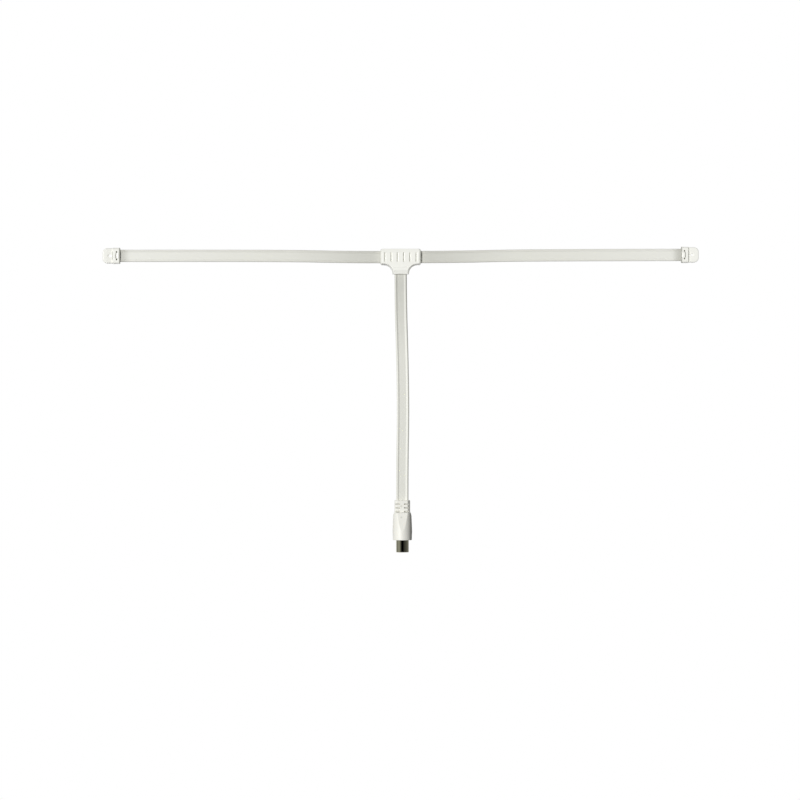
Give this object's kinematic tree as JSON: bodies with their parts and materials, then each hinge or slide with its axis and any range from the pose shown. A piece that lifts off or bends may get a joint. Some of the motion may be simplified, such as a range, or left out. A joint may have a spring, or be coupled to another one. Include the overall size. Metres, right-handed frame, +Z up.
{
  "type": "fm indoor antenna",
  "caption": "Flat white ribbon dipole for FM radio reception, with nail tabs at its tips, a ribbed junction block and a ribbon lead that hangs down to a coaxial plug.",
  "frame": {"origin": "on the wall plane, midway between the two nail holes", "axes": "+X along the dipole, +Y into the wall so the front faces -Y, +Z up"},
  "size_m": [0.4768, 0.0159, 0.2436],
  "materials": {
    "ribbon": "milky polyethylene",
    "white_plastic": "moulded",
    "plug_moulding": "soft overmould",
    "insulator": "moulded",
    "copper": "bare copper strands",
    "tinned": "tinned",
    "nickel": "nickel plate",
    "contact_brass": "turned"
  },
  "bodies": {
    "root": {"dipole_ribbon": "ribbon", "downlead_ribbon": "ribbon", "upper_conductor": "copper", "lower_conductor_left": "copper", "lower_conductor_right": "copper", "lead_conductor_left": "copper", "lead_conductor_right": "copper", "tip_link_left": "tinned", "tip_link_right": "tinned", "feed_joint_left": "tinned", "feed_joint_right": "tinned", "junction_front_cover": "white_plastic", "junction_rear_cover": "white_plastic", "left_end_tab": "white_plastic", "right_end_tab": "white_plastic", "left_end_clip": "white_plastic", "right_end_clip": "white_plastic", "plug_body": "plug_moulding", "plug_shell": "nickel", "plug_insulator": "insulator", "plug_centre_contact": "contact_brass"}
  },
  "joints": []
}
